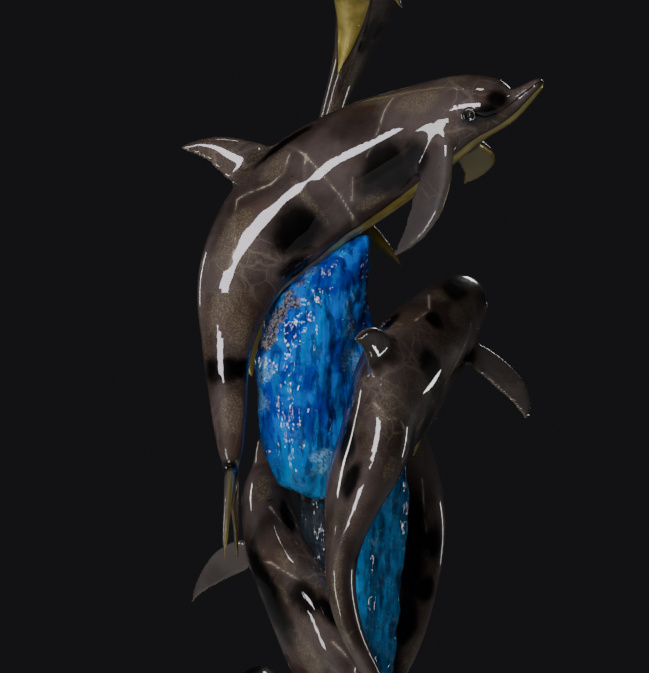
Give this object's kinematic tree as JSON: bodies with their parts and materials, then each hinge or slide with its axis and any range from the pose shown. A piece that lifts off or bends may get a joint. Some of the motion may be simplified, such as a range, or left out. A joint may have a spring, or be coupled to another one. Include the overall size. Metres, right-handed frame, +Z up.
{
  "type": "dolphin statue",
  "caption": "Dolphins leaping and diving round a standing sea wave on a low round plinth, a free-standing sculpture in gloss-patinated bronze.",
  "frame": {"origin": "centre of the plinth's underside, where the statue rests", "axes": "+Z up along the height, -Y toward the side that the picture shows, +X to the right there"},
  "size_m": [0.4358, 0.4107, 1.1581],
  "materials": {
    "dolphin_patina": "gloss-lacquered brown and black hot patina with polished gold bellies",
    "wave_blue": "gloss-lacquered azure blue patina",
    "plinth_black": "polished black granite"
  },
  "bodies": {
    "root": {"upper_dolphin": "dolphin_patina", "right_dolphin": "dolphin_patina", "left_dolphin": "dolphin_patina", "back_dolphin": "dolphin_patina", "top_dolphin": "dolphin_patina", "lower_dolphin": "dolphin_patina", "wave": "wave_blue", "plinth": "plinth_black"}
  },
  "joints": []
}
